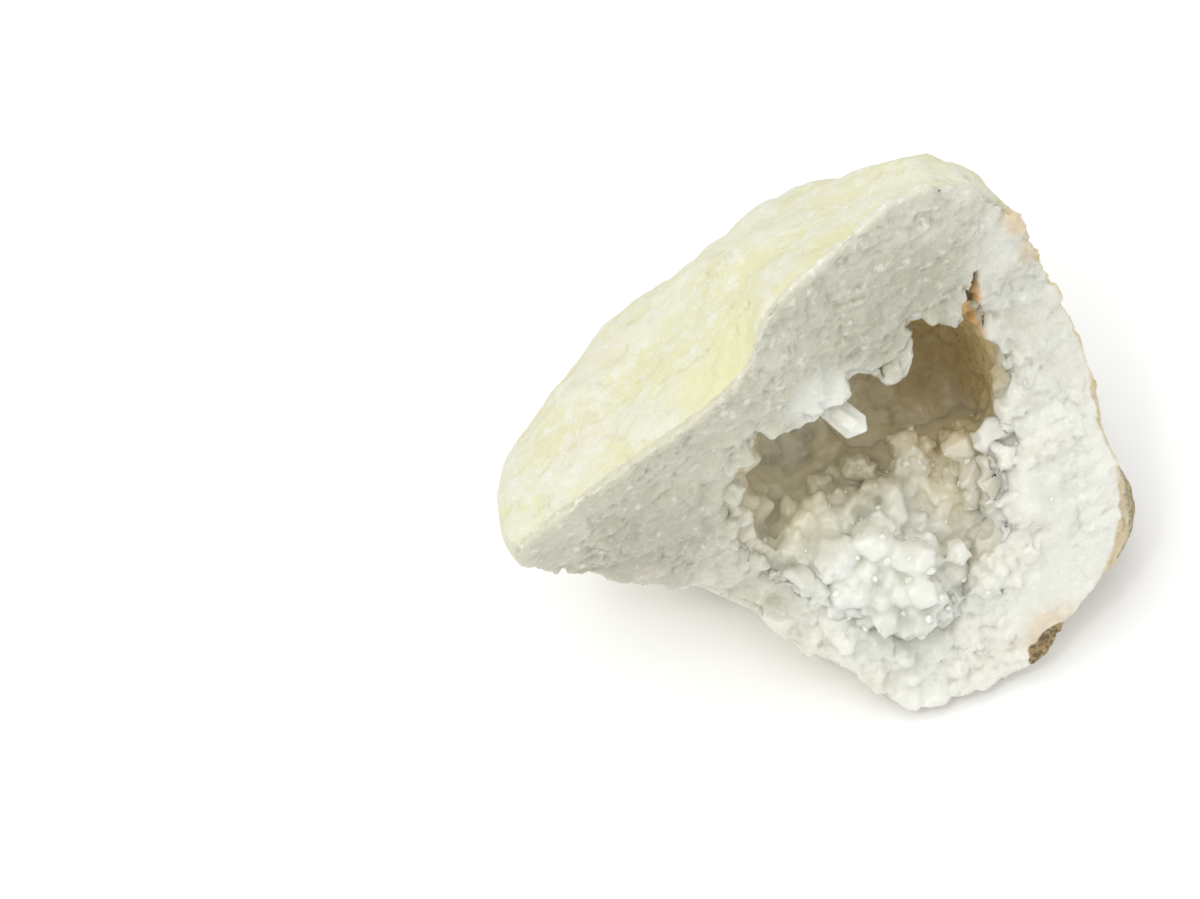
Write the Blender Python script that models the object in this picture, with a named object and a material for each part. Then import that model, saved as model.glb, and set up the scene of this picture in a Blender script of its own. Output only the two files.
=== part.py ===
import bpy
import bmesh
import math
import random
from mathutils import Matrix, Vector, noise
from mathutils.bvhtree import BVHTree

for old in list(bpy.data.objects):
    bpy.data.objects.remove(old, do_unlink=True)

MM = 0.001
# middle of the broken face, above the middle of the face that the half rests on
BREAK_CENTRE = Vector((-6.0, -8.5, 41.0))
# the broken face looks forward and 30 degrees up
BREAK_TILT = math.radians(30.0)
OUTWARD = Vector((0.0, -math.cos(BREAK_TILT), math.sin(BREAK_TILT)))
HOLLOW_AXIS = (5.0, -8.0)
NODULE_DEPTH = 42.0
BACK_POLE = (-1.0, 4.0)
HOLLOW_DEPTH = 29.0
HOLLOW_POLE = (15.0, -11.0)
HOLLOW_FLOOR = 9.5
# the floor climbs towards the back of the hollow
FLOOR_RISE = 0.38
HOLLOW_STEPS = (0.08, 0.18, 0.3, 0.44, 0.6, 0.78)
CRUST_GAP = 0.5
CRUST_THICK = 2.4
# the crust is thinner and almost bare on this side of the hollow
BARE_ANGLE = 55.0
# mound of crystals at the front of the hollow: its middle (across, up, out), reach and height
MOUND = (2.0, -25.0, -13.0)
MOUND_REACH = 19.0
MOUND_HEIGHT = 7.0
CRYSTALS = 88
EDGE_CRYSTALS = 34
MOUND_CRYSTALS = 26

# outline of the broken face: angle about the hollow, distance from its axis, height of the break
RIM = [(15, 33.6, -1), (37, 37.7, -4), (46, 41.4, -2), (61.5, 48.1, 3), (77, 53.8, 7), (85.5, 54, 8),
       (91, 50.8, 8), (107, 48.2, 8), (117.5, 41.6, 7), (130, 42.6, 6), (141, 46.7, 4), (150.5, 52.3, 2),
       (159.5, 58.4, -1), (164, 56.7, -4), (171, 48, -8), (176, 43.1, -10), (186, 36.5, -11),
       (193.5, 31, -12), (205.5, 28.1, -11), (215, 27.3, -9), (225, 28.2, -6), (239, 29.4, -3),
       (248, 31.8, 0), (259.5, 37.4, 2), (267.5, 37.1, 3), (282, 38, 4), (292, 37.5, 5), (305, 35.5, 6),
       (316.5, 36, 6), (335, 34.5, 5), (355, 31.3, 3)]
# how far the outside swells or draws in behind the rim, as a part of the distance
BULGE = [(20, 0.06), (48, 0.02), (62, 0.02), (74, -0.06), (86, -0.06), (100, -0.10), (122, 0.0),
         (140, 0.08), (152, 0.06), (165, 0.06), (200, 0.20), (250, 0.12), (300, 0.12), (314, 0.22),
         (328, 0.44), (345, 0.15)]
# flattened sides of the nodule: direction, and distance from the middle of the broken face
FLATS = [(Vector((-0.235, 0.679, 0.695)), 34.0), (Vector((-0.041, 0.675, 0.735)), 36.5)]
# knobs on the rind: place along the broken face (across, up, out), reach and lift
KNOBS = [((22.0, 36.0, -9.0), 12.0, 3.4), ((38.0, -33.0, -4.0), 14.0, 5.4), ((22.0, -43.0, 2.0), 5.0, 1.6),
         ((-34.0, 16.0, -14.0), 12.0, 1.8), ((-4.0, 32.0, -12.0), 9.0, 1.4)]
# edge of the hollow in the same terms
MOUTH = [(12, 19.9, -2), (30, 23.4, -3), (42, 26.2, -4), (55, 27.5, -3), (66, 26.4, -2), (72, 26.9, -2),
         (78, 19.6, -3), (84, 18.8, -3), (98, 20.6, -3), (110, 18.2, -3), (121, 21.6, -2), (132, 25.6, -2),
         (145, 23.6, -4), (158, 23.9, -5), (170, 21.0, -7), (182, 22.0, -8), (205, 20.6, -9), (217, 20.9, -8),
         (240, 23, -5), (260, 28, -2), (272, 28.6, -1), (281, 25.3, 0), (291, 19.5, 1), (315, 18.5, 2),
         (330, 15.5, 2), (350, 14.8, 1), (0, 18.3, 0)]
# narrow crack running up from the hollow: its outline on the broken face (across, up)
CRACK = [(20.2, 10.0), (23.4, 9.2), (23.0, 12.6), (24.4, 15.4), (23.6, 18.2), (24.6, 20.6), (23.8, 23.4),
         (22.9, 20.4), (22.2, 18.0), (22.6, 15.6), (21.4, 13.2)]
CRACK_BACK = -13.0
# the long crystal hanging from the roof's edge: tip along the broken face, and its half width
HANGING_TIP = (0.8, 6.6, 0.6)
HANGING_WIDTH = 1.9


def around(table, angle):
    """Value of a table at an angle, straight between its points."""
    rows = sorted(table)
    rows = [(rows[-1][0] - 360.0,) + tuple(rows[-1][1:])] + rows + [(rows[0][0] + 360.0,) + tuple(rows[0][1:])]
    for low, high in zip(rows, rows[1:]):
        if low[0] <= angle <= high[0]:
            part = (angle - low[0]) / (high[0] - low[0])
            return [a + (b - a) * part for a, b in zip(low[1:], high[1:])]


def to_world(u, w, n):
    """Point given along the broken face (u across, w up) and out of it (n), in millimetres."""
    s, c = math.sin(BREAK_TILT), math.cos(BREAK_TILT)
    return BREAK_CENTRE + Vector((u, s * w - c * n, c * w + s * n))


def lumps(p, size, seed):
    return noise.noise((p - BREAK_CENTRE) / size + Vector((seed * 7.3, seed * 3.1, seed * 5.7)))


def near_angle(angle, centre, width):
    gap = abs((angle - centre + 180.0) % 360.0 - 180.0)
    return max(0.0, 1.0 - gap / width)


def smooth(x):
    x = min(1.0, max(0.0, x))
    return x * x * (3.0 - 2.0 * x)


def rind_point(angle, t):
    """Weathered outside, from the rim (t 0) to the back (t 1)."""
    r, h = around(RIM, angle)
    th = t * math.pi / 2
    move = smooth(t)
    cu = HOLLOW_AXIS[0] + (BACK_POLE[0] - HOLLOW_AXIS[0]) * move
    cw = HOLLOW_AXIS[1] + (BACK_POLE[1] - HOLLOW_AXIS[1]) * move
    lean = near_angle(angle, 112.0, 95.0)
    mean = r + (38.0 - r) * 0.75 * move
    bulge = around(BULGE, angle)[0]
    fullness = 0.75 + 0.3 * lean - 0.42 * near_angle(angle, 275.0, 90.0)
    reach = mean * math.cos(th) ** fullness * (1.0 + bulge * math.sin(2 * th))
    a = math.radians(angle)
    heel = 10.0 * near_angle(angle, 275.0, 100.0) * math.sin(2 * th)
    deep = h * (1 - t) ** 1.5 - NODULE_DEPTH * math.sin(th) - heel
    p = to_world(cu + reach * math.cos(a), cw + reach * math.sin(a), deep)
    out = (p - to_world(cu, cw, -12.0)).normalized()
    for facing, limit in FLATS:
        p -= facing * 0.85 * max(0.0, (p - BREAK_CENTRE).dot(facing) - limit) * smooth(5.0 * t)
    for place, wide, lift in KNOBS:
        p += out * lift * smooth(1.0 - (p - to_world(*place)).length / wide)
    p += out * (2.4 * lumps(p, 20.0, 1) + 1.1 * lumps(p, 8.0, 2) + 0.5 * lumps(p, 3.6, 3)) * min(1.0, 6.0 * t)
    return Vector((p.x, p.y, max(p.z, 0.0)))


def hollow_point(angle, s):
    """Inside of the hollow, from its mouth (s 0) to its back (s 1)."""
    r, h = around(MOUTH, angle)
    th = s * math.pi / 2
    move = smooth(s)
    mean = r + (23.0 - r) * 0.7 * smooth(2.0 * s)
    cu = HOLLOW_AXIS[0] + (HOLLOW_POLE[0] - HOLLOW_AXIS[0]) * move
    cw = HOLLOW_AXIS[1] + (HOLLOW_POLE[1] - HOLLOW_AXIS[1]) * move
    reach = mean * math.cos(th) ** 0.6
    a = math.radians(angle)
    p = to_world(cu + reach * math.cos(a), cw + reach * math.sin(a), h * (1 - s) - HOLLOW_DEPTH * math.sin(th))
    behind = max(0.0, -(p - BREAK_CENTRE).dot(OUTWARD) - 8.0)
    floor = HOLLOW_FLOOR + FLOOR_RISE * behind + 0.6 * lumps(p, 9.0, 4)
    rise = 1.6 * math.log(1.0 + math.exp(min(30.0, (p.z - floor) / 1.6)))
    return Vector((p.x, p.y, floor + rise))


def break_point(angle, f):
    """Broken quartz between the rim (f 0) and the mouth of the hollow (f 1)."""
    p = rind_point(angle, 0.0).lerp(hollow_point(angle, 0.0), f)
    inner = math.sin(f * math.pi)
    ledge = 1.3 * near_angle(angle, 20.0, 26.0) * inner + 1.0 * near_angle(angle, 300.0, 30.0) * inner
    return p + OUTWARD * (ledge + inner * (1.5 * lumps(p, 7.0, 5) + 0.9 * lumps(p, 3.2, 6)))


def angles():
    """Even steps, with closer ones at the tip of the wedge."""
    return sorted(list(range(0, 360, 6)) + [159.5, 164])


def skin(mesh_name, rings, first_pole, last_pole):
    """Closed body from rings of points and a point at each end."""
    bm = bmesh.new()
    rows = [[bm.verts.new(p * MM) for p in ring] for ring in rings]
    count = len(rows[0])
    for low, high in zip(rows, rows[1:]):
        for i in range(count):
            a, b, c, d = low[i], low[(i + 1) % count], high[(i + 1) % count], high[i]
            if (a.co - c.co).length > (b.co - d.co).length:
                a, b, c, d = b, c, d, a
            bm.faces.new((a, b, c))
            bm.faces.new((a, c, d))
    for pole, row in ((first_pole, rows[0]), (last_pole, rows[-1])):
        tip = bm.verts.new(pole * MM)
        for i in range(count):
            bm.faces.new((row[i], row[(i + 1) % count], tip))
    bmesh.ops.recalc_face_normals(bm, faces=bm.faces)
    mesh = bpy.data.meshes.new(mesh_name)
    bm.to_mesh(mesh)
    bm.free()
    return mesh


def add(name, mesh):
    ob = bpy.data.objects.new(name, mesh)
    bpy.context.scene.collection.objects.link(ob)
    return ob


def stone(name, colour, roughness):
    m = bpy.data.materials.new(name)
    m.use_nodes = True
    b = m.node_tree.nodes["Principled BSDF"]
    b.inputs["Base Color"].default_value = colour
    b.inputs["Roughness"].default_value = roughness
    return m


def slab(name, outline, front, back):
    """Prism whose outline lies along the broken face."""
    bm = bmesh.new()
    low = [bm.verts.new(to_world(u, w, back) * MM) for u, w in outline]
    high = [bm.verts.new(to_world(u, w, front) * MM) for u, w in outline]
    bm.faces.new(high)
    bm.faces.new(list(reversed(low)))
    for i in range(len(outline)):
        j = (i + 1) % len(outline)
        bm.faces.new((low[i], low[j], high[j], high[i]))
    bmesh.ops.recalc_face_normals(bm, faces=bm.faces)
    mesh = bpy.data.meshes.new(name)
    bm.to_mesh(mesh)
    bm.free()
    return add(name, mesh)


def join_solids(ob, other, how):
    """Cut or join one solid with another and keep the result as plain mesh."""
    mod = ob.modifiers.new("solid", "BOOLEAN")
    mod.object = other
    mod.operation = how
    mod.solver = "EXACT"
    mod.use_self = how == "UNION"
    graph = bpy.context.evaluated_depsgraph_get()
    mesh = bpy.data.meshes.new_from_object(ob.evaluated_get(graph))
    ob.modifiers.remove(mod)
    ob.data = mesh
    bpy.data.objects.remove(other, do_unlink=True)


def build_wall():
    turn = angles()
    steps = [0.93, 0.84, 0.74, 0.63, 0.52, 0.41, 0.30, 0.20, 0.11, 0.045]
    rings = [[rind_point(a, t) for a in turn] for t in steps]
    rings += [[break_point(a, f) for a in turn] for f in (0.0, 0.2, 0.4, 0.6, 0.8, 1.0)]
    rings += [[hollow_point(a, s) for a in turn] for s in HOLLOW_STEPS]
    body = add("geode_wall", skin("geode_wall", rings, rind_point(0.0, 1.0), hollow_point(0.0, 1.0)))
    join_solids(body, slab("crack", CRACK, 12.0, CRACK_BACK), "DIFFERENCE")
    bm = bmesh.new()
    bm.from_mesh(body.data)
    resting = [f for f in bm.faces if max(v.co.z for v in f.verts) < 1e-6]
    bmesh.ops.dissolve_faces(bm, faces=resting, use_verts=False)
    bm.to_mesh(body.data)
    bm.free()
    return body


def inward_frame(angle, s):
    """Point of the hollow's wall and the direction away from the rock there."""
    here = hollow_point(angle, s)
    side = hollow_point((angle + 6) % 360, s) - hollow_point((angle - 6) % 360, s)
    along = hollow_point(angle, min(1.0, s + 0.04)) - hollow_point(angle, max(0.0, s - 0.04))
    inward = side.cross(along).normalized()
    if inward.dot(to_world(9.0, -9.0, -12.0) - here) < 0.0:
        inward = -inward
    return here, inward


def crust_depth(p, angle):
    """Thickness of the crust: thin on the roof and the right, a mound of crystals on the floor."""
    mound = smooth(1.0 - (p - to_world(*MOUND)).length / MOUND_REACH)
    bed = CRUST_THICK - near_angle(angle, BARE_ANGLE, 75.0)
    return bed + MOUND_HEIGHT * mound * (1.0 + lumps(p, 6.0, 9)) + 0.5 * lumps(p, 5.0, 8)


def stand_off(tree, p):
    """Point moved out of the hollow's corners until it is clear of the rock by the gap."""
    for _ in range(3):
        near, normal, _, distance = tree.find_nearest(p * MM)
        if distance < CRUST_GAP * MM:
            p = near / MM + normal * CRUST_GAP
    return p


def crust_ring(turn, s, tree, inner):
    ring = []
    for a in turn:
        here, inward = inward_frame(a, s)
        ring.append(here + inward * crust_depth(here, a) if inner else stand_off(tree, here + inward * CRUST_GAP))
    return ring


def crystal(root, axis, length, width, turn, taper):
    """Six-sided crystal with a pointed end, as world points in rings and a tip."""
    spin = axis.to_track_quat("Z", "Y").to_matrix() @ Matrix.Rotation(turn, 3, "Z")
    rings = []
    for part, size in ((0.0, 0.78), (taper, 1.0)):
        ring = []
        for k in range(6):
            a = k * math.pi / 3
            reach = width * size * (1.12 if k % 3 == 0 else 0.92)
            ring.append(root + spin @ Vector((reach * math.cos(a), reach * math.sin(a), part * length)))
        rings.append(ring)
    tip = root + spin @ Vector((0.14 * width, 0.1 * width, length))
    return rings, tip


def clear_of(tree, points, gap):
    """True when the points all stand outside the rock by the gap."""
    for p in points:
        near, normal, _, distance = tree.find_nearest(p * MM)
        if distance < gap * MM or (p * MM - near).dot(normal) < 0.0:
            return False
    return True


def add_crystal(bm, rings, tip):
    low, high = [[bm.verts.new(p * MM) for p in ring] for ring in rings]
    end = bm.verts.new(tip * MM)
    bm.faces.new(list(reversed(low)))
    for k in range(6):
        j = (k + 1) % 6
        bm.faces.new((low[k], low[j], high[j], high[k]))
        bm.faces.new((high[k], high[j], end))


def crystal_places(rng):
    """Roots all over the crust, then a closer row along its edge and bigger ones on the mound."""
    places = []
    for i in range(CRYSTALS):
        s = 0.07 + 0.80 * ((i + 0.5) / CRYSTALS)
        width = rng.uniform(1.2, 2.5)
        places.append(((i * 137.508 + rng.uniform(-5, 5)) % 360, s, width * rng.uniform(1.5, 2.3), width))
    for i in range(EDGE_CRYSTALS):
        width = rng.uniform(1.2, 2.0)
        places.append((360.0 * i / EDGE_CRYSTALS, rng.uniform(0.05, 0.11), width * rng.uniform(1.6, 2.4), width))
    for i in range(MOUND_CRYSTALS):
        width = rng.uniform(1.8, 2.7)
        s = 0.13 + 0.40 * ((i * 0.618) % 1.0)
        places.append((226 + 84.0 * i / MOUND_CRYSTALS, s, width * rng.uniform(1.1, 1.7), width))
    return places


def build_crystals(tree):
    rng = random.Random(11)
    bm = bmesh.new()
    for angle, s, length, width in crystal_places(rng):
        here, inward = inward_frame(angle, s)
        depth = crust_depth(here, angle)
        bare = near_angle(angle, BARE_ANGLE, 60.0)
        if rng.random() < 0.9 * bare:
            continue
        length, width = length * (1.0 - 0.35 * bare), width * (1.0 - 0.35 * bare)
        sway = Vector((rng.uniform(-1, 1), rng.uniform(-1, 1), rng.uniform(-1, 1)))
        axis = (inward + 0.42 * sway + OUTWARD * (0.5 if s < 0.12 else 0.0)).normalized()
        root = here + inward * (depth - 1.0)
        rings, tip = crystal(root, axis, length + 1.0, width, rng.uniform(0, 1), rng.uniform(0.5, 0.72))
        between = [a.lerp(b, 0.5) for a, b in zip(rings[0], rings[1])] + [a.lerp(tip, 0.5) for a in rings[1]]
        if clear_of(tree, rings[0] + rings[1] + between + [tip], CRUST_GAP + 0.1):
            add_crystal(bm, rings, tip)
    here, inward = inward_frame(112, 0.1)
    root = here + inward * 2.1
    tip = to_world(*HANGING_TIP)
    rings, tip = crystal(root, (tip - root).normalized(), (tip - root).length, HANGING_WIDTH, 0.3, 0.76)
    add_crystal(bm, rings, tip)
    mesh = bpy.data.meshes.new("crystals")
    bm.to_mesh(mesh)
    bm.free()
    return add("crystals", mesh)


def keep_largest(ob):
    """Drop what the joining left shut inside the solid."""
    bm = bmesh.new()
    bm.from_mesh(ob.data)
    left = set(bm.verts)
    islands = []
    while left:
        found = {left.pop()}
        edge = list(found)
        while edge:
            nearby = {e.other_vert(v) for v in edge for e in v.link_edges} & left
            left -= nearby
            found |= nearby
            edge = list(nearby)
        islands.append(found)
    islands.sort(key=len)
    bmesh.ops.delete(bm, geom=[v for island in islands[:-1] for v in island], context="VERTS")
    bm.to_mesh(ob.data)
    bm.free()


def build_crust(wall):
    turn = angles()
    steps = (0.04,) + HOLLOW_STEPS
    tree = BVHTree.FromObject(wall, bpy.context.evaluated_depsgraph_get())
    rings = [crust_ring(turn, s, tree, False) for s in reversed(steps)]
    rings += [crust_ring(turn, s, tree, True) for s in steps]
    deep = hollow_point(0.0, 1.0)
    ends = (deep + OUTWARD * CRUST_GAP, deep + OUTWARD * CRUST_THICK)
    body = add("crystal_crust", skin("crystal_crust", rings, *ends))
    join_solids(body, build_crystals(tree), "UNION")
    keep_largest(body)
    return body


wall = build_wall()
wall.data.materials.append(stone("rock_wall", (0.80, 0.77, 0.62, 1.0), 0.8))
crust = build_crust(wall)
crust.data.materials.append(stone("quartz_crystals", (0.86, 0.85, 0.78, 1.0), 0.25))
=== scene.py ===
import math

import bmesh
import bpy
import numpy as np
from mathutils import Matrix, Vector
from mathutils.bvhtree import BVHTree


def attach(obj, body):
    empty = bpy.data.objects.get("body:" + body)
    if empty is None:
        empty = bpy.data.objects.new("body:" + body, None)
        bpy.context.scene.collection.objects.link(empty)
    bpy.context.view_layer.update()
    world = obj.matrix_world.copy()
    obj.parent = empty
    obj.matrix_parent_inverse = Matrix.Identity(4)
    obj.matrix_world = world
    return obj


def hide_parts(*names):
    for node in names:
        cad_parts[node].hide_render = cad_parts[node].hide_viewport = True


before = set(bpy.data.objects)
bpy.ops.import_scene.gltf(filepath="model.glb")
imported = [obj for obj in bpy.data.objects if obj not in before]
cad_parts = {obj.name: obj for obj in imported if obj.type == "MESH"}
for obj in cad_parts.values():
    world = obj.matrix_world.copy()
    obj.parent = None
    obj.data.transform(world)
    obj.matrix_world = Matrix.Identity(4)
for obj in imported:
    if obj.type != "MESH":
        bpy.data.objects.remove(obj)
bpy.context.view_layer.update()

scene = bpy.context.scene

# The view: a long lens high above the stone, turned to its left, so that it looks down into
# the hollow. The stone sits right of the middle of the picture.
BREAK_CENTRE = Vector((-0.006, -0.0085, 0.041))
view_from = Vector((-0.1984, -0.3731, 0.9063)).normalized()
view_right = Vector((0.8829, -0.4695, 0.0)).normalized()
view_up = view_from.cross(view_right)
camera_data = bpy.data.cameras.new("camera")
camera_data.lens = 120.0
camera_data.sensor_width = 36.0
camera_data.clip_start = 0.01
camera = bpy.data.objects.new("camera", camera_data)
scene.collection.objects.link(camera)
distance, aside, above = 0.56, 0.0364, 0.00287
stand = BREAK_CENTRE + view_from * distance - view_right * aside + view_up * above
turn = Matrix((view_right, view_up, view_from)).transposed()
camera.matrix_world = Matrix.Translation(stand) @ turn.to_4x4()
scene.camera = camera

# The table: a plain white sheet of matt paper, much wider than the stone, which lies on it. It
# isn't part of the object.
floor_mesh = bpy.data.meshes.new("floor")
sheet = 2.5
corners = [(-sheet, -sheet, 0), (sheet, -sheet, 0), (sheet, sheet, 0), (-sheet, sheet, 0)]
floor_mesh.from_pydata(corners, [], [(0, 1, 2, 3)])
floor = bpy.data.objects.new("floor", floor_mesh)
scene.collection.objects.link(floor)
white = bpy.data.materials.new("white_sheet")
white.use_nodes = True
white.node_tree.nodes["Principled BSDF"].inputs["Base Color"].default_value = (0.95, 0.95, 0.95, 1.0)
white.node_tree.nodes["Principled BSDF"].inputs["Roughness"].default_value = 0.9
white.node_tree.nodes["Principled BSDF"].inputs["Specular IOR Level"].default_value = 0.1
floor_mesh.materials.append(white)

# The light: a bright white room with one broad soft lamp overhead, a little behind and left,
# so that the leaning roof of the break falls into shade, and a small one that makes facets glint.
world = bpy.data.worlds.new("room")
scene.world = world
world.use_nodes = True
world.node_tree.nodes["Background"].inputs["Color"].default_value = (1.0, 1.0, 1.0, 1.0)
world.node_tree.nodes["Background"].inputs["Strength"].default_value = 0.8
# name, place, width, power
lamps = (("overhead", (-0.3, 0.1, 1.05), 1.1, 5.6), ("sparkle", (-0.42, -0.1, 0.95), 0.12, 0.9))
for name, place, size, power in lamps:
    lamp_data = bpy.data.lights.new(name, "AREA")
    lamp_data.shape = "DISK"
    lamp_data.size = size
    lamp_data.energy = power
    lamp = bpy.data.objects.new(name, lamp_data)
    lamp.location = place
    lamp.rotation_euler = (BREAK_CENTRE - lamp.location).to_track_quat("-Z", "Y").to_euler()
    scene.collection.objects.link(lamp)
scene.view_settings.view_transform = "Standard"


# The stone wall: one lump of massive quartz under a chalky cream rind, snapped across so that
# the white quartz shows. Its shape is the solid's own, worn rough outside and chipped inside.
class Wire:
    """A node socket that Python's operators work on; the operators add Math nodes."""

    def __init__(self, tree, socket=None):
        self.tree, self.socket = tree, socket

    def make(self, kind, settings=None, values=None, out=0):
        """A new node of any kind: its settings first, then its sockets' values or links."""
        node = self.tree.nodes.new(kind)
        for name, value in (settings or {}).items():
            setattr(node, name, value)
        for key, value in (values or {}).items():
            if isinstance(value, Wire):
                self.tree.links.new(value.socket, node.inputs[key])
            else:
                node.inputs[key].default_value = value
        return Wire(self.tree, node.outputs[out])

    def output(self, name):
        """Another output of the node that this socket is on."""
        return Wire(self.tree, self.socket.node.outputs[name])

    def math(self, operation, *others):
        """A Math node on this number and others."""
        values = {i: other for i, other in enumerate((self,) + others)}
        return self.make("ShaderNodeMath", {"operation": operation}, values)

    def vector(self, operation, *others, out=0):
        """A Vector Math node on this vector and others."""
        values = {i: other for i, other in enumerate((self,) + others)}
        return self.make("ShaderNodeVectorMath", {"operation": operation}, values, out)

    def __add__(self, other):
        return self.math("ADD", other)

    def __mul__(self, other):
        return self.math("MULTIPLY", other)

    def __sub__(self, other):
        return self.math("SUBTRACT", other)

    def __rsub__(self, other):
        return (self * -1.0) + other

    def __rtruediv__(self, other):
        return self.make("ShaderNodeMath", {"operation": "DIVIDE"}, {0: other, 1: self})

    __radd__ = __add__
    __rmul__ = __mul__

    def scaled(self, factor):
        """This vector times a number."""
        return self.make("ShaderNodeVectorMath", {"operation": "SCALE"}, {0: self, "Scale": factor})

    def past(self, point, way):
        """How far this place lies past a point, along a direction."""
        return self.vector("SUBTRACT", tuple(point)).vector("DOT_PRODUCT", tuple(way), out=1)

    def named(self, name):
        """A number that is stored on the points of the mesh."""
        return self.make("GeometryNodeInputNamedAttribute", {"data_type": "FLOAT"}, {"Name": name})

    def ramp(self, low, high):
        """0 below low, 1 above high, eased between."""
        values = {"Value": self, "From Min": low, "From Max": high}
        return self.make("ShaderNodeMapRange", {"interpolation_type": "SMOOTHSTEP"}, values)

    def tint(self, under, over):
        """Colour that goes from under to over as this value goes from 0 to 1."""
        values = {0: self, 6: under, 7: over}
        return self.make("ShaderNodeMix", {"data_type": "RGBA"}, values, 2)

    def noise(self, place, size, detail=3.0, rough=0.5):
        """Cloudy values from 0 to 1, with patches of about the given size."""
        values = {"Vector": place, "Scale": 1.0 / size, "Detail": detail, "Roughness": rough}
        return self.make("ShaderNodeTexNoise", None, values)

    def domes(self, place, size, soft):
        """Height of rounded lumps, with creases between them."""
        cells = self.make("ShaderNodeTexVoronoi", {"feature": "SMOOTH_F1"}, {
            "Vector": place, "Scale": 1.0 / size, "Smoothness": soft})
        return 0.45 - cells

    def chips(self, place, size):
        """Height of flat chips: each cell of the break is a small plane tilted its own way."""
        cells = self.make("ShaderNodeTexVoronoi", None, {"Vector": place, "Scale": 1.0 / size})
        lean = cells.output("Color").vector("SUBTRACT", (0.5, 0.5, 0.5))
        return place.vector("SUBTRACT", cells.output("Position")).vector("DOT_PRODUCT", lean, out=1)


def plain_mesh(thing):
    """Bakes an object's modifiers into its mesh and takes them off."""
    graph = bpy.context.evaluated_depsgraph_get()
    mesh = bpy.data.meshes.new_from_object(thing.evaluated_get(graph))
    thing.modifiers.clear()
    thing.data = mesh
    return thing


WELD = 0.000002


def solid_copy(node, name):
    """A welded copy of a solid's mesh, as an object of its own."""
    bm = bmesh.new()
    bm.from_mesh(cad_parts[node].data)
    bmesh.ops.remove_doubles(bm, verts=bm.verts, dist=WELD)
    mesh = bpy.data.meshes.new(name)
    bm.to_mesh(mesh)
    bm.free()
    mesh.materials.clear()
    copy = bpy.data.objects.new(name, mesh)
    scene.collection.objects.link(copy)
    return copy


# where the hollow's axis meets the break: across and up, mm
HOLLOW_AXIS = (5.0, -8.0)
# outlines of the break and of the hollow's mouth about that axis: angle, distance and height, mm
RIM = np.array([
    (15, 33.6, -1), (37, 37.7, -4), (46, 41.4, -2), (61.5, 48.1, 3), (77, 53.8, 7), (85.5, 54, 8),
    (91, 50.8, 8), (107, 48.2, 8), (117.5, 41.6, 7), (130, 42.6, 6), (141, 46.7, 4), (150.5, 52.3, 2),
    (159.5, 58.4, -1), (164, 56.7, -4), (171, 48, -8), (176, 43.1, -10), (186, 36.5, -11),
    (193.5, 31, -12), (205.5, 28.1, -11), (215, 27.3, -9), (225, 28.2, -6), (239, 29.4, -3),
    (248, 31.8, 0), (259.5, 37.4, 2), (267.5, 37.1, 3), (282, 38, 4), (292, 37.5, 5), (305, 35.5, 6),
    (316.5, 36, 6), (335, 34.5, 5), (355, 31.3, 3)])
MOUTH = np.array([
    (0, 18.3, 0), (12, 19.9, -2), (30, 23.4, -3), (42, 26.2, -4), (55, 27.5, -3), (66, 26.4, -2),
    (72, 26.9, -2), (78, 19.6, -3), (84, 18.8, -3), (98, 20.6, -3), (110, 18.2, -3), (121, 21.6, -2),
    (132, 25.6, -2), (145, 23.6, -4), (158, 23.9, -5), (170, 21.0, -7), (182, 22.0, -8), (205, 20.6, -9),
    (217, 20.9, -8), (240, 23, -5), (260, 28, -2), (272, 28.6, -1), (281, 25.3, 0), (291, 19.5, 1),
    (315, 18.5, 2), (330, 15.5, 2), (350, 14.8, 1)])
TILT = math.radians(30.0)
OUTWARD = Vector((0.0, -math.cos(TILT), math.sin(TILT)))
UPHILL = Vector((0.0, math.sin(TILT), math.cos(TILT)))
# where the crack runs up from the mouth's top, in mm across
CRACK_ACROSS = 22.8


def on_break(across, up, high):
    """World point given along the break, in mm."""
    return tuple(BREAK_CENTRE + (Vector((across, 0, 0)) + UPHILL * up + OUTWARD * high) * 0.001)


def along_break(points):
    """Across, up and height over the break in mm, with angle and distance about the hollow's axis."""
    away = (points - np.array(BREAK_CENTRE)) * 1000.0
    across, up, high = away[:, 0], away @ np.array(UPHILL), away @ np.array(OUTWARD)
    beside, over = across - HOLLOW_AXIS[0], up - HOLLOW_AXIS[1]
    return across, up, high, np.degrees(np.arctan2(over, beside)) % 360.0, np.hypot(over, beside)


def outline(table, angle):
    """Distance and height of the rim or the mouth at an angle about the hollow's axis."""
    return [np.interp(angle, table[:, 0], table[:, column], period=360.0) for column in (1, 2)]


def points_of(mesh):
    """The mesh's points, one to a row."""
    flat = np.empty(len(mesh.vertices) * 3)
    mesh.vertices.foreach_get("co", flat)
    return flat.reshape(-1, 3)


def mark(mesh, name, values):
    """Stores one number for each point of a mesh."""
    layer = mesh.attributes.new(name, "FLOAT", "POINT")
    layer.data.foreach_set("value", np.asarray(values, dtype=np.float32))


def step(values, low, high):
    """0 below low, 1 above high, eased between."""
    part = np.clip((values - low) / (high - low), 0.0, 1.0)
    return part * part * (3.0 - 2.0 * part)


def towards(angle, middle, near, far):
    """1 within so many degrees of an angle about the hollow's axis, 0 further off."""
    return 1.0 - step(np.abs((angle - middle + 180.0) % 360.0 - 180.0), near, far)


def low_side(angle):
    """1 where the mound of crystals runs over the hollow's mouth."""
    return towards(angle, 262.0, 30.0, 65.0)


def left_side(angle):
    """1 to the left of the mound, where crystals still stand on the mouth's edge."""
    return towards(angle, 215.0, 30.0, 50.0)


def bare(angle):
    """1 where the hollow's side is smooth and nearly bare of crystals."""
    return towards(angle, 50.0, 30.0, 55.0)


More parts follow.
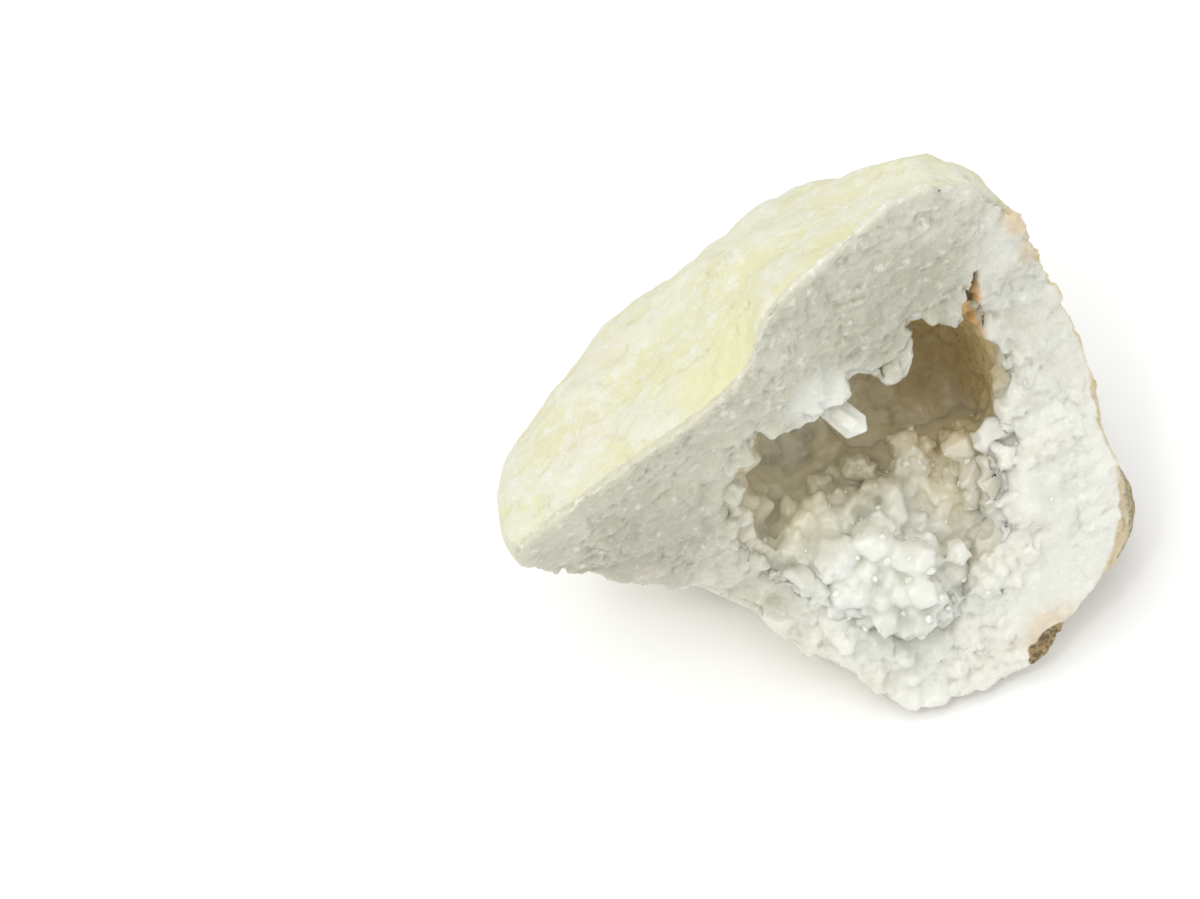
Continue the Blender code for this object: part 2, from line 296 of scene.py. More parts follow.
# smooth pockets of the hollow: place (across, up, high) and reach, mm
POCKETS = ((25, -2, -10, 13), (23, -6, -24, 12), (13, -10, -25, 10), (-2, -2, -22, 12), (-10, 7, -8, 7))


def pocket(points):
    """1 in the hollow's smooth pockets."""
    inside = np.zeros(len(points))
    for across, up, high, reach in POCKETS:
        away = np.linalg.norm(points - np.array(on_break(across, up, high)), axis=1) * 1000.0
        inside = np.maximum(inside, 1.0 - step(away, reach * 0.65, reach))
    return inside


def fused(piece, voxel, rounds):
    """Melts what overlaps in a piece into one skin."""
    grid = piece.modifiers.new("fused", "REMESH")
    grid.mode = "VOXEL"
    grid.voxel_size = voxel
    grid.use_smooth_shade = True
    soften = piece.modifiers.new("rounded", "SMOOTH")
    soften.factor = 0.5
    soften.iterations = rounds
    plain_mesh(piece)


def smooth(piece):
    """Shades a piece as one soft surface."""
    for polygon in piece.data.polygons:
        polygon.use_smooth = True


def join(piece, *others):
    """Adds other pieces' meshes to a piece's own."""
    bm = bmesh.new()
    for part in (piece,) + others:
        bm.from_mesh(part.data)
    bm.to_mesh(piece.data)
    bm.free()
    for part in others:
        bpy.data.objects.remove(part)


# a crystal's proportions, its half width being 1: its tip, its root and its six uneven sides
TIP_HEIGHT = 0.9
ROOT_DEPTH = 0.9
ROOT_WIDTH = 0.85
SIDES = (1.14, 0.93, 0.93, 1.14, 0.93, 0.93)


def crystal_shape(name, length, lean):
    """Six-sided quartz point, wide at the shoulder, with its tip a little off the middle."""
    bm = bmesh.new()
    rings = []
    for high, wide in ((-ROOT_DEPTH, ROOT_WIDTH), (length, 1.0)):
        ring = []
        for k, side in enumerate(SIDES):
            turn = k * math.pi / 3
            reach = wide * side
            ring.append(bm.verts.new((reach * math.cos(turn), reach * math.sin(turn), high)))
        rings.append(ring)
    tip = bm.verts.new((lean, lean * 0.6, length + TIP_HEIGHT))
    bm.faces.new(list(reversed(rings[0])))
    for k in range(6):
        j = (k + 1) % 6
        bm.faces.new((rings[0][k], rings[0][j], rings[1][j], rings[1][k]))
        bm.faces.new((rings[1][k], rings[1][j], tip))
    mesh = bpy.data.meshes.new(name)
    bm.to_mesh(mesh)
    bm.free()
    return bpy.data.objects.new(name, mesh)


shapes = bpy.data.collections.new("crystal_shapes")
for name, length, lean in (("short_point", -0.2, 0.25), ("squat_point", 0.05, -0.2),
                           ("long_point", 0.4, 0.3)):
    shapes.objects.link(crystal_shape(name, length, lean))


def new_tree(name, **inputs):
    """A Geometry Nodes tree with a wire from each input: the geometry, the ones given, the material."""
    tree = bpy.data.node_groups.new(name, "GeometryNodeTree")
    face = tree.interface
    face.new_socket("Geometry", in_out="INPUT", socket_type="NodeSocketGeometry")
    kinds = {float: "NodeSocketFloat", int: "NodeSocketInt", str: "NodeSocketString"}
    for label, value in inputs.items():
        socket = face.new_socket(label.replace("_", " "), in_out="INPUT", socket_type=kinds[type(value)])
        socket.default_value = value
    face.new_socket("Material", in_out="INPUT", socket_type="NodeSocketMaterial")
    face.new_socket("Geometry", in_out="OUTPUT", socket_type="NodeSocketGeometry")
    start = tree.nodes.new("NodeGroupInput")
    return Wire(tree), [Wire(tree, start.outputs[i]) for i in range(len(inputs) + 2)]


def end_tree(geometry, material):
    """Ends a tree with plain geometry in its material."""
    solid = geometry.make("GeometryNodeRealizeInstances", None, {"Geometry": geometry})
    finished = geometry.make("GeometryNodeSetMaterial", None, {"Geometry": solid, "Material": material})
    end = geometry.tree.nodes.new("NodeGroupOutput")
    geometry.tree.links.new(finished.socket, end.inputs[0])
    return geometry.tree


def druse():
    """Tree that grows crystals on the marked parts of a surface."""
    w, inputs = new_tree("druse", Spacing=0.001, Density=600000.0, Smallest=0.0004, Largest=0.0009,
                         Sway=0.5, Seed=1, Where="grow")
    ground, spacing, density, smallest, largest, sway, seed, where, material = inputs
    thick = w.named(where)
    scatter = w.make("GeometryNodeDistributePointsOnFaces", {"distribute_method": "POISSON"}, {
        "Mesh": ground, "Distance Min": spacing, "Density Max": density,
        "Density Factor": thick, "Seed": seed})
    wobble = w.make("FunctionNodeRandomValue", {"data_type": "FLOAT_VECTOR"}, {
        "Min": (-1.0, -1.0, -1.0), "Max": (1.0, 1.0, 1.0), "Seed": seed})
    aim = scatter.output("Normal").vector("ADD", wobble.scaled(sway))
    upright = w.make("FunctionNodeAlignRotationToVector", {"axis": "Z"}, {"Vector": aim})
    whole_turn = 6.283
    spin = w.make("FunctionNodeRandomValue", {"data_type": "FLOAT"}, {
        2: 0.0, 3: whole_turn, "Seed": seed + 7.0}, 1)
    turned = w.make("FunctionNodeRotateRotation", {"rotation_space": "LOCAL"}, {
        "Rotation": upright, "Rotate By": w.make("FunctionNodeAxisAngleToRotation", None, {
            "Axis": (0.0, 0.0, 1.0), "Angle": spin})})
    # most crystals are small
    size = w.make("FunctionNodeRandomValue", {"data_type": "FLOAT"}, {
        2: 0.0, 3: 1.0, "Seed": seed + 3.0}, 1)
    size = smallest + (largest - smallest) * size * size
    kinds = w.make("GeometryNodeCollectionInfo", None, {
        "Collection": shapes, "Separate Children": True, "Reset Children": True})
    points = w.make("GeometryNodeInstanceOnPoints", None, {
        "Points": scatter, "Instance": kinds, "Pick Instance": True, "Rotation": turned, "Scale": size})
    return end_tree(points, material)


def grow(thing, tree, **inputs):
    """Puts a Geometry Nodes tree on a piece with its inputs set by identifier, then bakes it."""
    growth = thing.modifiers.new(tree.name, "NODES")
    growth.node_group = tree
    sockets = {s.name: s.identifier for s in tree.interface.items_tree if s.in_out == "INPUT"}
    for label, value in inputs.items():
        growth[sockets[label.replace("_", " ")]] = value
    return plain_mesh(thing)


druse_tree = druse()


def crystals(name, base, **values):
    """Crystals grown on a base, as a piece of its own."""
    piece = bpy.data.objects.new(name, base.data.copy())
    scene.collection.objects.link(piece)
    return grow(piece, druse_tree, **values)


def lifted(geometry, height, material):
    """Moves a surface along its normal by a height and ends the tree."""
    shift = geometry.make("GeometryNodeInputNormal").scaled(height)
    moved = geometry.make("GeometryNodeSetPosition", None, {"Geometry": geometry, "Offset": shift})
    return end_tree(moved, material)


def roughen():
    """Tree that gives the rind lumps and pits, and the break chips, nicks, blocks and bosses."""
    w, inputs = new_tree("rough_stone", Rind_lump_height=0.0007, Rind_grain_height=0.00017,
                         Pit_depth=0.0006, Chip_height=1.0, Sugar_height=0.00022,
                         Nick_depth=0.0007, Block_height=0.0034, Boss_height=0.0024)
    geometry, lump, grain, pit, chip, sugar, nick, block, boss, material = inputs
    place = w.make("GeometryNodeInputPosition")
    broken = w.named("broken")
    ragged = w.named("ragged")
    lumps = (w.noise(place, 0.009, 2.0) - 0.5) * 3.0 * lump
    grains = (w.noise(place, 0.0016, 4.0, 0.65) - 0.5) * 2.0 * grain
    pits = w.noise(place, 0.0035, 2.0).ramp(0.58, 0.72) * pit
    rind = lumps + grains - pits
    # chips come and go over the break, and small nicks run along its edges
    patches = w.noise(place, 0.010, 2.0).ramp(0.40, 0.60) * 0.75 + 0.25
    chips = (w.chips(place, 0.0036) * 0.42 + w.chips(place, 0.0017) * 0.8) * chip * patches
    swell = (w.noise(place, 0.006, 3.0) - 0.5) * 0.0016
    sugars = (w.noise(place, 0.0012, 4.0, 0.65) - 0.5) * 2.0 * sugar
    nicks = w.noise(place, 0.0042, 3.0, 0.6).ramp(0.46, 0.58) * ragged * nick
    # the mouth broke in blocks, each standing out or back by its own amount
    block_size, block_middle = 0.0042, 0.62
    blocks = w.make("ShaderNodeTexVoronoi", None, {"Vector": place, "Scale": 1.0 / block_size})
    stand = blocks.output("Color").vector("DOT_PRODUCT", (1.0, 0.0, 0.0), out=1)
    blocky = (stand - block_middle) * block * w.named("lip")
    bosses = w.domes(place, 0.0046, 0.3) * boss * w.named("boss")
    quartz = chips * (1.0 - ragged * 0.5) + swell + sugars - nicks + blocky + bosses
    return lifted(geometry, rind + (quartz - rind) * broken, material)


def surface(name):
    """A new material, with a wire to build its nodes on."""
    made = bpy.data.materials.new(name)
    made.use_nodes = True
    made.node_tree.nodes.clear()
    return made, Wire(made.node_tree)


def finish_surface(w, shader):
    """Joins a material's shader to its output."""
    end = w.tree.nodes.new("ShaderNodeOutputMaterial")
    w.tree.links.new(shader.socket, end.inputs["Surface"])


def spot(w, place, centre, reach, wander):
    """1 at a place (mm), fading to 0 at its reach (mm), with an edge that wanders (m)."""
    away = place.vector("DISTANCE", on_break(*centre), out=1)
    ragged = away + (w.noise(place, 0.004, 3.0) - 0.5) * wander
    return 1.0 - ragged.ramp(reach * 0.0004, reach * 0.001)


def stained(w, place, colour, spots, where=1.0):
    """A colour with a table of spots laid over it."""
    for centre, reach, wander, strength, over in spots:
        colour = (spot(w, place, centre, reach, wander) * strength * where).tint(colour, over)
    return colour


QUARTZ_IOR = 1.54
# the milky quartz, and the clearer quartz with painted shade mixed into its colour
MILK = (0.79, 0.79, 0.715, 1.0)
CLEAR_AND_SHADED = (0.57, 0.565, 0.45, 1.0)
FLECK = (0.90, 0.90, 0.85, 1.0)
FLUSH = (0.84, 0.77, 0.66, 1.0)
GROOVE_SHADE = (0.62, 0.57, 0.44, 1.0)
TAN = (0.80, 0.735, 0.545, 1.0)
BROWN = (0.545, 0.415, 0.19, 1.0)
RUST = (0.72, 0.42, 0.16, 1.0)
# spots of the quartz: place (across, up, high) and reach in mm, how far the edge wanders in m, how
# strong, colour; first the greyer ones: painted shade on the left wedge, on the roof and at its right end
SHADE_GREY_SPOTS = (((-34, -3, -9), 19, 0.008, 0.8, (0.47, 0.455, 0.36, 1.0)),
              ((13, 23, 0), 15, 0.008, 0.75, (0.47, 0.46, 0.35, 1.0)),
              ((32, 8, 0), 16, 0.008, 0.4, (0.60, 0.60, 0.51, 1.0)))
# iron stain in the hollow
TAN_SPOTS = (((-4, -4, -18), 20, 0.003, 0.85, TAN), ((14, -9, -24), 19, 0.003, 1.0, TAN),
             ((-12, 5, -6), 10, 0.003, 0.7, TAN), ((19, -18, -10), 10, 0.003, 0.8, TAN),
             ((3, 9, -8), 9, 0.003, 0.8, TAN), ((24, -3, -12), 17, 0.003, 1.0, TAN))
DUSKY_SPOTS = (((4, -11, -14), 10, 0.004, 0.7, (0.50, 0.46, 0.33, 1.0)),)
BROWN_SPOTS = (((24, -2, -20), 19, 0.003, 0.95, BROWN), ((23, 8, -10), 11, 0.003, 0.9, BROWN),
               ((2, 2, -22), 12, 0.003, 0.15, BROWN))
# the white mound and its greyer foot, and the white knot on the roof's edge
PALE_SPOTS = (((0, -24, -5), 15, 0.004, 0.8, (0.845, 0.855, 0.785, 1.0)),
              ((2, -29, -1), 11, 0.004, 0.85, (0.66, 0.665, 0.595, 1.0)),
              ((-3.5, 14.5, -0.5), 7, 0.003, 0.7, (0.80, 0.805, 0.75, 1.0)))
# the way in which the quartz gets milkier, and lighter as its painted shade gives out
MILKY_AND_LIT_WAY = (Vector((0.8, 0.0, 0.0)) - UPHILL * 0.6).normalized()


def quartz_colour(w, place):
    """Milky white with clearer grey patches, partly painted shade; tan and brown stain deep in the hollow.
    """
    depth = place.past(BREAK_CENTRE, OUTWARD) * -1.0
    # milkier low down on the right, clearer and greyer on the roof and the left wedge, partly painted shade
    side = place.past(on_break(-6, 6, 0), MILKY_AND_LIT_WAY)
    cloud = (w.noise(place, 0.007, 4.0, 0.6) - 0.5) * 1.5 + side * 16.0 + 0.35
    colour = cloud.ramp(0.0, 1.0).tint(CLEAR_AND_SHADED, MILK)
    # painted shade: greyer patches on the left wedge and the roof
    colour = stained(w, place, colour, SHADE_GREY_SPOTS)
    fleck = w.noise(place, 0.0018, 3.0, 0.6).ramp(0.56, 0.72)
    colour = (fleck * 0.5).tint(colour, FLECK)
    flush = w.noise(place, 0.011, 2.0).ramp(0.56, 0.75)
    colour = (flush * 0.35).tint(colour, FLUSH)
    inside = depth.ramp(0.0025, 0.0085)
    colour = stained(w, place, colour, TAN_SPOTS, inside)
    colour = stained(w, place, colour, DUSKY_SPOTS)
    colour = stained(w, place, colour, BROWN_SPOTS, inside)
    colour = stained(w, place, colour, PALE_SPOTS)
    # painted shade in the groove to the right of the mound
    upper = spot(w, place, (17, -14, -4), 8, 0.003)
    lower = spot(w, place, (14, -24, -3), 7, 0.003)
    colour = (upper.math("MAXIMUM", lower) * 0.5).tint(colour, GROOVE_SHADE)
    # rust in the crack
    aside = place.past(on_break(CRACK_ACROSS, 0, 0), (1, 0, 0))
    crack = spot(w, place, (CRACK_ACROSS, 15, -8), 11, 0.001) * depth.ramp(0.0008, 0.0022)
    crack = crack * (1.0 - aside.math("ABSOLUTE").ramp(0.0010, 0.0019))
    return crack.tint(colour, RUST)


def sugary(w, place, strength):
    """Normal of quartz whose grains each catch the light their own way."""
    sugar = w.chips(place, 0.0008) * 800.0 + w.chips(place, 0.0016) * 500.0
    return w.make("ShaderNodeBump", None, {"Strength": strength, "Distance": 0.0003, "Height": sugar})


# spots of the rind and of the quartz at its edge, in the same way: yellower rind in two places at
# the top, and brown stain on the quartz at the right end and round the chip on the lower edge
YELLOW_SPOTS = (((-16, 29, 5), 13, 0.008, 0.7, (0.76, 0.745, 0.43, 1.0)),
                ((4, 45, 6), 12, 0.008, 0.7, (0.78, 0.755, 0.45, 1.0)))
EDGE_STAIN = (0.72, 0.60, 0.42, 1.0)
EDGE_SPOTS = (((32, 28, 0), 4.6, 0.002, 1.0, EDGE_STAIN), ((33.5, 20, -2), 3.5, 0.002, 0.8, EDGE_STAIN),
              ((21, -39.5, 5), 6.5, 0.002, 0.7, EDGE_STAIN))
# the chip on the lower edge: places and reach, mm
CHIP_PLACES = (((21.5, -41.5, 5), 4.4), ((18.7, -42.8, 5), 3.2))
# the rind's colours: the yellower and the whiter cream, the blush and the dust on it, dark specks,
# soil, and the darker and paler grain of the earth-brown crust
CREAMS = ((0.735, 0.725, 0.475, 1.0), (0.755, 0.75, 0.60, 1.0))
BLUSH = (0.78, 0.71, 0.52, 1.0)
DUST = (0.80, 0.795, 0.70, 1.0)
SPECK = (0.60, 0.54, 0.37, 1.0)
SOIL = (0.58, 0.48, 0.29, 1.0)
EARTHS = ((0.30, 0.235, 0.12, 1.0), (0.60, 0.52, 0.33, 1.0))
# brown line along the rim, and the darker and paler grain in the chip
RIM_LINE = (0.62, 0.50, 0.27, 1.0)
GRITS = ((0.13, 0.085, 0.03, 1.0), (0.38, 0.27, 0.12, 1.0))


def wall_surface():
    """Chalky cream rind outside, sugary white quartz where broken."""
    made, w = surface("rock_wall")
    place = w.make("ShaderNodeTexCoord", None, None, 3)
    broken = w.make("ShaderNodeAttribute", {"attribute_name": "broken"}, None, 2)
    rim = w.make("ShaderNodeAttribute", {"attribute_name": "rim"}, None, 2)
    # chalky rind: cream, with yellower and whiter patches
    cream = w.noise(place, 0.009, 4.0, 0.6).ramp(0.40, 0.60).tint(*CREAMS)
    blush = w.noise(place, 0.014, 3.0, 0.6).ramp(0.54, 0.70)
    cream = (blush * 0.5).tint(cream, BLUSH)
    dust = w.noise(place, 0.0026, 4.0, 0.7).ramp(0.46, 0.66)
    rind_tint = stained(w, place, (dust * 0.8).tint(cream, DUST), YELLOW_SPOTS)
    speck = w.noise(place, 0.0012, 3.0, 0.7).ramp(0.60, 0.74)
    rind_tint = (speck * 0.45).tint(rind_tint, SPECK)
    soil = w.noise(place, 0.0045, 5.0, 0.75).ramp(0.60, 0.72)
    soil = soil * w.noise(place, 0.020, 2.0).ramp(0.42, 0.58)
    rind_tint = (soil * 0.5).tint(rind_tint, SOIL)
    # earth-brown crust on the right knob and, thinner, on the underside
    earth = w.noise(place, 0.0011, 4.0, 0.7).ramp(0.42, 0.62).tint(*EARTHS)
    knob = spot(w, place, (39, -31, -4), 20, 0.004)
    height = place.past((0, 0, 0), (0, 0, 1))
    under = (w.noise(place, 0.012, 3.0) * 0.02 + height).ramp(0.022, 0.012)
    rind_tint = (knob * 0.95).tint(rind_tint, earth)
    rind_tint = (under * 0.4).tint(rind_tint, earth)
    rind_bump = w.noise(place, 0.0008, 5.0, 0.75)
    rind_lift = w.make("ShaderNodeBump", None, {"Strength": 0.9, "Distance": 0.0004, "Height": rind_bump})
    rind = w.make("ShaderNodeBsdfPrincipled", None, {
        "Base Color": rind_tint, "Roughness": 0.85, "Specular IOR Level": 0.25, "Normal": rind_lift})
    # broken quartz
    lift = sugary(w, place, 0.8)
    milk = quartz_colour(w, place)
    # a thin brown line along the rim, strongest on the right
    right = place.past(on_break(24, 0, 0), (1, 0, 0)).ramp(0.0, 0.006)
    edge = (rim + (w.noise(place, 0.002, 3.0) - 0.5) * 0.3).ramp(0.84, 0.99)
    milk = (edge * (right * 0.8 + 0.1)).tint(milk, RIM_LINE)
    milk = stained(w, place, milk, EDGE_SPOTS)
    grit = w.noise(place, 0.0007, 3.0, 0.7).ramp(0.42, 0.60).tint(*GRITS)
    for centre, reach in CHIP_PLACES:
        milk = spot(w, place, centre, reach, 0.0026).ramp(0.25, 0.5).tint(milk, grit)
    shine = w.noise(place, 0.0015, 2.0).ramp(0.45, 0.6)
    quartz = w.make("ShaderNodeBsdfPrincipled", None, {
        "Base Color": milk, "Roughness": 0.55 - shine * 0.3, "IOR": QUARTZ_IOR, "Subsurface Weight": 0.55,
        "Subsurface Radius": (1.0, 1.0, 1.0), "Subsurface Scale": 0.003, "Normal": lift})
    border = (broken + (w.noise(place, 0.003, 3.0) - 0.5) * 0.5).ramp(0.35, 0.65)
    both = w.make("ShaderNodeMixShader", None, {0: border, 1: rind, 2: quartz})
    finish_surface(w, both)
    return made


stone = solid_copy("geode_wall", "stone_wall")
rock_tree = BVHTree.FromObject(stone, bpy.context.evaluated_depsgraph_get())
crust = solid_copy("crystal_crust", "crystal_bed")
crust_tree = BVHTree.FromObject(crust, bpy.context.evaluated_depsgraph_get())


def mark_wall(mesh):
    """Marks the break, its edges and where crystals stand on it, all by distances in mm."""
    spots = points_of(mesh)
    to_crust = np.array([crust_tree.find_nearest(p)[3] for p in spots]) * 1000.0
    across, up, high, angle, out = along_break(spots)
    rim_out, rim_high = outline(RIM, angle)
    mouth_out, mouth_high = outline(MOUTH, angle)
    past_mouth = out - mouth_out
    part = np.clip(past_mouth / (rim_out - mouth_out), 0.0, 1.0)
    over = high - (mouth_high + (rim_high - mouth_high) * part)
    # 1 on the broken quartz, 0 on the rind
    broken = np.maximum(step(over, -2.6, -0.8), 1.0 - step(to_crust, 1.2, 2.5))
    mark(mesh, "broken", broken)
    # how near the rind the break is, 1 at the rim
    rim = np.clip(1.0 - (rim_out - out) / 6.0, 0.0, 1.0) * step(over, -3.5, -1.5)
    mark(mesh, "rim", rim)
    # crystals stand on the mouth's low side, where the mound runs over it, and a little to the left
    on_top = step(over, -2.5, -1.0)
    band = (1.0 - step(past_mouth, 2.5, 7.5)) * low_side(angle)
    band = np.maximum(band, (1.0 - step(past_mouth, 0.5, 2.5)) * left_side(angle)) * on_top
    # and just inside it, where they close the joint with the crust
    within = (1.0 - step(past_mouth, 0.0, 1.5)) * step(over, -8.0, -6.0)
    front = towards(angle, 270.0, 88.0, 105.0)
    mark(mesh, "grow", np.maximum(band, within * front))
    # a few small crystals all over the break, whose brightness is partly painted highlight
    mark(mesh, "glint", on_top * 0.05 * step(to_crust, 0.0, 2.0) * (1.0 - step(rim, 0.3, 0.6)))
    # how jagged the break's edges are: at the hollow's mouth, and less at the rim
    high_side = 1.0 - low_side(angle)
    lip = (1.0 - step(np.abs(past_mouth), 1.2, 3.6)) * step(over, -6.0, -3.0) * high_side
    left_rim = towards(angle, 200.0, 25.0, 40.0)
    top_rim = towards(angle, 45.0, 15.0, 25.0)
    mark(mesh, "lip", np.maximum(lip, rim * np.maximum(left_rim, top_rim) * 0.4))
    mark(mesh, "ragged", np.maximum(rim * 0.7, lip * 0.6))
    # the quartz round the mouth, but for its low side and the crack, stands in soft bosses
    off_crack = np.maximum(step(np.abs(across - CRACK_ACROSS), 2.5, 5.5), 1.0 - step(up, 8.0, 12.0))
    mark(mesh, "boss", (1.0 - step(past_mouth, 5.0, 11.0)) * high_side * on_top * off_crack)


wall_finish = wall_surface()
WALL_VOXEL = 0.00057
fused(stone, WALL_VOXEL, 1)
mark_wall(stone.data)
# the biggest crystals round the mouth, by where they stand: place (across, up, high) and radius, mm
BIG_CRYSTALS = {
    "knot that holds the hanging crystal": (
        (-3.6, 16.8, -2.4, 3.6), (-1.0, 14.0, -2.2, 3.0), (-4.6, 13.2, -2.6, 2.6)),
    "right edge of the mouth": (
        (20.3, -11.8, -2.2, 2.7), (19.3, -15.2, -1.8, 2.4), (21.3, -8.0, -3.2, 2.5),
        (18.6, -18.6, -1.6, 2.1)),
    "foot of the mound": (
        (-8.0, -22.5, -6.2, 2.5), (-4.6, -25.8, -4.8, 2.5), (-11.0, -19.2, -7.2, 2.3),
        (-5.5, -30.5, -4.6, 2.3), (-1.8, -33.0, -4.2, 2.5), (2.6, -34.6, -3.6, 2.4),
        (6.8, -33.8, -3.2, 2.4), (10.2, -31.0, -2.8, 2.2)),
    "corner of the roof": (
        (9.6, 12.6, -4.0, 3.2), (10.9, 11.4, -4.6, 2.5), (7.2, 12.4, -3.4, 2.6),
        (11.8, 15.6, -4.4, 2.6))}
# they face out of the break and a little downhill, each turned on a little from the last
FACING = (OUTWARD * 0.8 - UPHILL * 0.6).to_track_quat("Z", "Y").to_matrix()
TURN_ON = 0.7
big_crystals = []
for across, up, high, radius in sum(BIG_CRYSTALS.values(), ()):
    facing = FACING @ Matrix.Rotation(len(big_crystals) * TURN_ON, 3, "Z")
    big = crystal_shape("big_crystal", length=0.4, lean=0.3)
    size = Matrix.Scale(radius * 0.001, 4)
    big.data.transform(Matrix.Translation(on_break(across, up, high)) @ facing.to_4x4() @ size)
    big_crystals.append(big)
lip_crystals = crystals("lip_crystals", stone, Spacing=0.0018, Smallest=0.0010, Largest=0.0024,
                        Sway=0.25, Seed=9, Material=wall_finish)
join(stone, lip_crystals, *big_crystals)
fused(stone, WALL_VOXEL, 2)
mark_wall(stone.data)
rough_stone = roughen()
grow(stone, rough_stone, Material=wall_finish)
soften = stone.modifiers.new("worn", "SMOOTH")
soften.factor = 0.25
soften.iterations = 1
plain_mesh(stone)
smooth(stone)
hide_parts("geode_wall")
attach(stone, "root")


# The crust: milky quartz crystals that grew inward from the wall, fused at their roots into one
# bed. It is set into the rock a little, and the points stand thickest on the mound in front.
# a white that paints highlight into the colour of crystals meant to glint
PAINTED_GLINT_WHITE = (0.95, 0.95, 0.92, 1.0)


def crystal_surface(name, painted_glint, roughness, sugar, milky):
    """Glossy quartz in the stone's own colours, with patches of white painted in as highlight."""
    made, w = surface(name)
    place = w.make("ShaderNodeTexCoord", None, None, 3)
    white = w.noise(place, 0.002, 2.0).ramp(0.3, 0.7)
    tint = (white * painted_glint).tint(quartz_colour(w, place), PAINTED_GLINT_WHITE)
    quartz = w.make("ShaderNodeBsdfPrincipled", None, {
        "Base Color": tint, "Roughness": roughness, "IOR": QUARTZ_IOR, "Subsurface Weight": milky,
        "Subsurface Radius": (1.0, 1.0, 1.0), "Subsurface Scale": 0.004, "Normal": sugary(w, place, sugar)})
    finish_surface(w, quartz)
    return made


bed_finish = crystal_surface("quartz_crystals", 0.0, 0.32, 0.45, 0.7)
# the bright finish paints highlight white into the crystals' colour, so that they read as glints
glint_painted_finish = crystal_surface("quartz_with_painted_glint", 0.5, 0.14, 0.1, 0.0)


def kept(piece, *nodes):
    """Hands a finished piece of the crust to the frame."""
    if nodes:
        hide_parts(*nodes)
    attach(piece, "root")


def off_line(spots, start, end):
    """How far points are from a line between two others."""
    run = end - start
    along = np.clip((spots - start) @ run / (run @ run), 0.0, 1.0)
    return np.linalg.norm(spots - start - np.outer(along, run), axis=1)


# what is within so many mm of the rock is the crust's root, and it is set in by so many metres
ROOT = 0.9
SET_IN = 0.0021
spots = points_of(crust.data)
to_rock = np.zeros(len(spots))
for i, point in enumerate(spots):
    near, _, _, far = rock_tree.find_nearest(point)
    to_rock[i] = far * 1000.0
    if to_rock[i] < ROOT:
        spots[i] = point + (np.array(near) - point) / far * SET_IN
inner_skin = step(to_rock, ROOT, 1.4)
# the crust thins out at the hollow's mouth and on its smooth side, until it is just under the rock
JUST_UNDER = 0.0016
_, _, high, angle, _ = along_break(spots)
below_mouth = outline(MOUTH, angle)[1] - high
shut = 1.0 - np.maximum(low_side(angle), left_side(angle))
thin = (1.0 - step(below_mouth, 3.0, 9.0)) * shut
thin = np.maximum(thin, np.maximum(bare(angle), pocket(spots)))
for i, point in enumerate(spots):
    near, _, _, far = rock_tree.find_nearest(point)
    if to_rock[i] > ROOT:
        sunk = np.array(near) + (np.array(near) - point) / far * JUST_UNDER
        spots[i] = point + (sunk - point) * thin[i]
SINK = 0.003
spots -= np.outer((1.0 - step(below_mouth, 2.0, 6.0)) * shut * SINK, np.array(OUTWARD))
# the mound swells out towards the mouth
MOUND = np.array(on_break(1, -26, -7))
MOUND_REACH = 0.017
MOUND_LIFT = 0.0036
swell = step(1.0 - np.linalg.norm(spots - MOUND, axis=1) / MOUND_REACH, 0.0, 1.0)
# a groove parts the mound from the wall on its right
GROOVE = np.array((on_break(19, -9, -5), on_break(14, -27, -2)))
GROOVE_WIDE = 0.0045
GROOVE_DEEP = 0.0035
deep = 1.0 - step(off_line(spots, *GROOVE), GROOVE_WIDE * 0.3, GROOVE_WIDE)
spots += np.outer((swell * MOUND_LIFT - deep * GROOVE_DEEP) * inner_skin, np.array(OUTWARD))
crust.data.vertices.foreach_set("co", spots.ravel())


def lumpy():
    """Tree that swells the marked parts of a surface in rounded lumps with creases between."""
    w, inputs = new_tree("lumps", Lump_size=0.0068, Lump_height=0.0018)
    geometry, size, height, material = inputs
    domes = w.domes(w.make("GeometryNodeInputPosition"), size, 0.25)
    return lifted(geometry, domes * height * w.named("grow") * 2.0, material)


# the long crystal that hangs over the hollow: its tip, the way it points, its length and half width
HANGING_TIP = Vector(on_break(2.1, 5.5, 1.7))
HANGING_WAY = Vector((0.36, -0.92, -0.08)).normalized()
HANGING_LENGTH = 0.0115
HANGING_WIDTH = 0.0019
HANGING_ROOT = HANGING_TIP - HANGING_WAY * HANGING_LENGTH


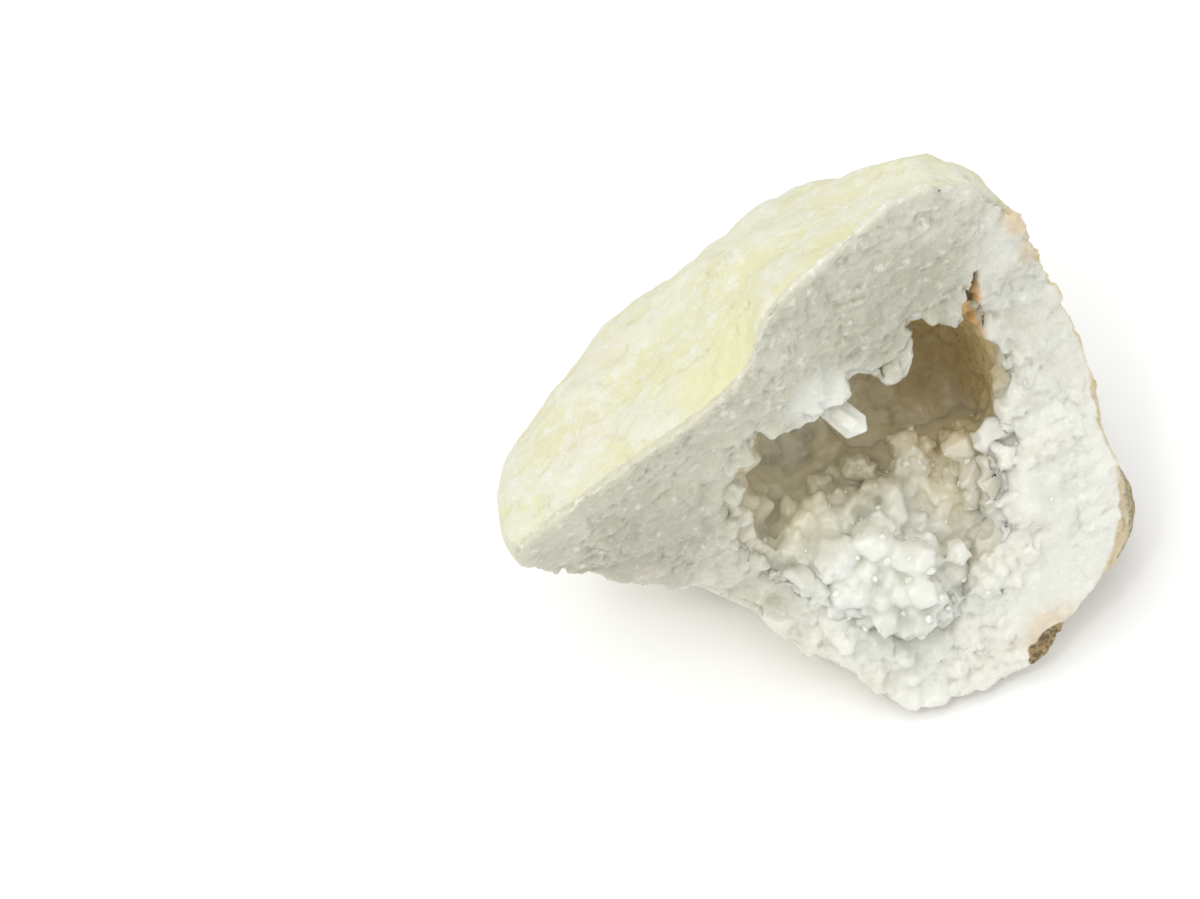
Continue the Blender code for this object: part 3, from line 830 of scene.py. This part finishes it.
def growing(mesh):
    """Marks where crystals stand on the crust: on its front, and hardly on its smooth side."""
    spots = points_of(mesh)
    _, _, high, angle, _ = along_break(spots)
    to_rock = np.zeros(len(spots))
    for i, point in enumerate(spots):
        near, facing, _, far = rock_tree.find_nearest(point)
        to_rock[i] = math.copysign(far, (Vector(point) - near).dot(facing)) * 1000.0
    # none where the hanging crystal stands, or in the smooth pockets
    to_hanging = off_line(spots, np.array(HANGING_TIP), np.array(HANGING_ROOT))
    inner = step(to_rock, 0.3, 0.8) * step(to_hanging, 0.002, 0.0035) * (1.0 - pocket(spots))
    inner *= np.maximum(low_side(angle), step(outline(MOUTH, angle)[1] - high, 1.0, 4.0))
    # fewer on the left, and none deep down
    inner *= 1.0 - 0.75 * towards(angle, 180.0, 12.0, 32.0)
    inner *= 1.0 - bare(angle) * (1.0 - step(high, -5.0, -2.0))
    mark(mesh, "grow", inner * step(high, -20.0, -14.0))


FIRST_VOXEL = 0.0006
CRUST_VOXEL = 0.0004
fused(crust, FIRST_VOXEL, 2)
growing(crust.data)
grow(crust, lumpy(), Material=bed_finish)
large = crystals("large_crystals", crust, Spacing=0.0026, Smallest=0.0019, Largest=0.0035,
                 Sway=0.3, Seed=3, Material=bed_finish)
join(crust, large)
fused(crust, CRUST_VOXEL, 1)
growing(crust.data)
mark(crust.data, "broken", np.ones(len(crust.data.vertices)))
grow(crust, rough_stone, Chip_height=0.55, Sugar_height=0.00014, Material=bed_finish)
smooth(crust)
kept(crust, "crystal_crust")

# The fine crystals: small points of clear quartz, made bright with painted highlight, that stand
# among the crust's bigger ones. They grew there last and are rooted in the crust.
kept(crystals("fine_crystals", crust, Spacing=0.0034, Smallest=0.0003, Largest=0.0007,
              Sway=0.6, Seed=5, Material=glint_painted_finish))

# The glints: a few tiny points of the same clear quartz with painted highlight, scattered over the
# broken face and rooted in the wall.
kept(crystals("glints", stone, Spacing=0.0030, Smallest=0.0002, Largest=0.0006,
              Sway=0.8, Seed=9, Where="glint", Material=glint_painted_finish))

# The hanging crystal: the one long point of clear quartz. It grew out of the white knot on the
# roof's edge and reaches down over the hollow, with its edges a little worn.
tip_span = 1.4
shoulder = HANGING_LENGTH / HANGING_WIDTH - tip_span
hanging = crystal_shape("hanging_crystal", shoulder, lean=0.35)
turned_by = Matrix.Rotation(0.5, 3, "Z")
turn = (HANGING_WAY.to_track_quat("Z", "Y").to_matrix() @ turned_by).to_4x4()
hanging.data.transform(Matrix.Translation(HANGING_ROOT) @ turn @ Matrix.Scale(HANGING_WIDTH, 4))
scene.collection.objects.link(hanging)
bevel = hanging.modifiers.new("worn_edges", "BEVEL")
bevel.width = 0.0002
bevel.segments = 2
plain_mesh(hanging)
# its finish has painted highlight white mixed into its colour
hanging.data.materials.append(glint_painted_finish)
kept(hanging)
